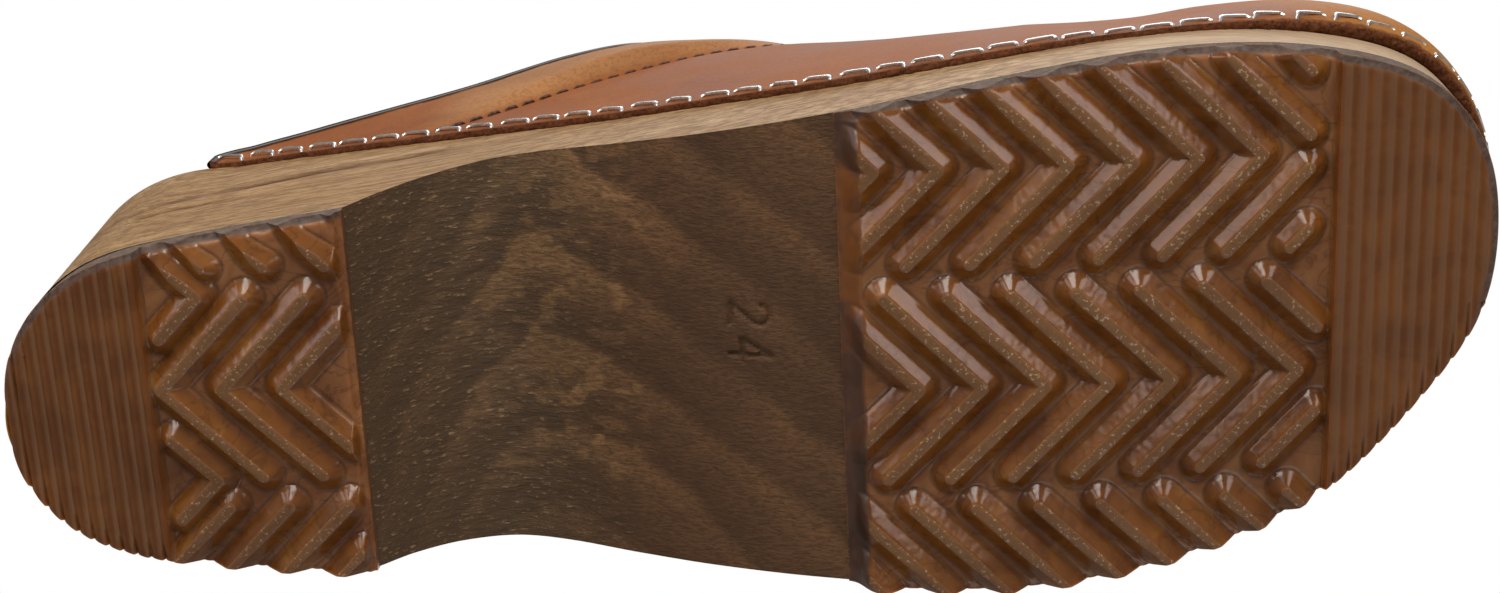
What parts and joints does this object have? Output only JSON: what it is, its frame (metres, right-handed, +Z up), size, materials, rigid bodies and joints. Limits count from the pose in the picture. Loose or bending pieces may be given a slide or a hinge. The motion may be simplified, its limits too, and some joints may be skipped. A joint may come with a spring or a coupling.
{
  "type": "wooden clog",
  "caption": "Left-foot open-back clog: shaped wooden sole with raised heel and arch, stapled leather upper and two chevron rubber tread pads.",
  "frame": {"origin": "on the ground under the middle of the object's box, the clog standing on its treads", "axes": "+X from heel to toe, +Y towards the wearer's left, which is the outer side of this left clog, +Z up"},
  "size_m": [0.2579, 0.0974, 0.1051],
  "materials": {
    "wood": "bare, finely sanded sides and a darker rough stained arch",
    "crepe_rubber": "moulded amber-brown, glossy between the treads, sanded grey at the edge",
    "oiled_leather": "oiled reddish tan, low sheen, raw cut edge",
    "lining_leather": "dark suede side out",
    "stiffener": "stiffened woven felt",
    "staple_steel": "bright flat wire",
    "brown_thread": "waxed twisted thread"
  },
  "bodies": {
    "root": {"wooden_sole": "wood", "heel_tread_pad": "crepe_rubber", "forefoot_tread_pad": "crepe_rubber", "vamp": "oiled_leather", "collar_lining": "lining_leather", "toe_puff": "stiffener", "medial_staples": "staple_steel", "toe_staples": "staple_steel", "lateral_staples": "staple_steel", "seam_needle_thread": "brown_thread", "seam_bobbin_thread": "brown_thread"}
  },
  "joints": []
}
